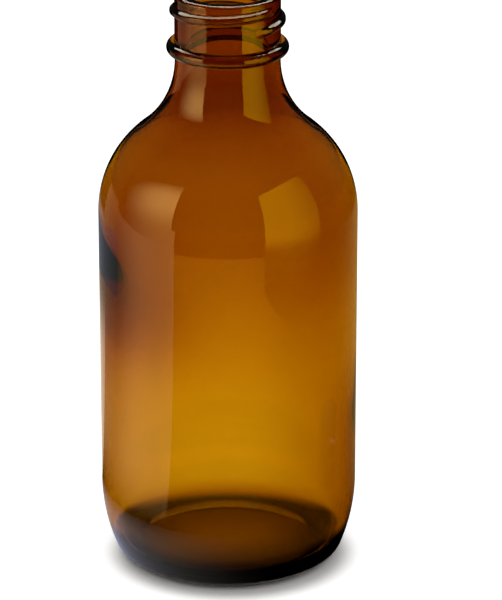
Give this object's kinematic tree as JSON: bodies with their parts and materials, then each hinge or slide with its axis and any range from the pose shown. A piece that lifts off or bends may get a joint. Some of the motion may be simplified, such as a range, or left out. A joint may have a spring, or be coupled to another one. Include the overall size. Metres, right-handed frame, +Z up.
{
  "type": "reagent bottle",
  "caption": "Round amber glass reagent bottle with a short neck, transfer bead and open screw mouth; its ribbed screw cap with a loose liner stands open side up beside it.",
  "frame": {"origin": "centre of the bottle's standing ring, on the bench", "axes": "+Z up along the bottle's axis and out of its mouth, +X from the bottle towards the cap that stands beside it"},
  "size_m": [0.1346, 0.062, 0.142],
  "materials": {
    "amber_glass": "clear polished amber glass",
    "cap_plastic": "satin black moulding",
    "liner": "matt off-white foam"
  },
  "bodies": {
    "bottle": {"bottle": "amber_glass"},
    "cap": {"cap": "cap_plastic"},
    "liner": {"cap_liner": "liner"}
  },
  "joints": [
    {"name": "cap_lift", "type": "slide", "parent": "bottle", "child": "cap", "axis": [0, 0, 1], "range_m": [0, 0.18]},
    {"name": "liner_turn", "type": "hinge", "parent": "cap", "child": "liner", "pos_m": [0.0878, 0, 0.0022], "axis": [0, 0, 1], "continuous": true}
  ]
}
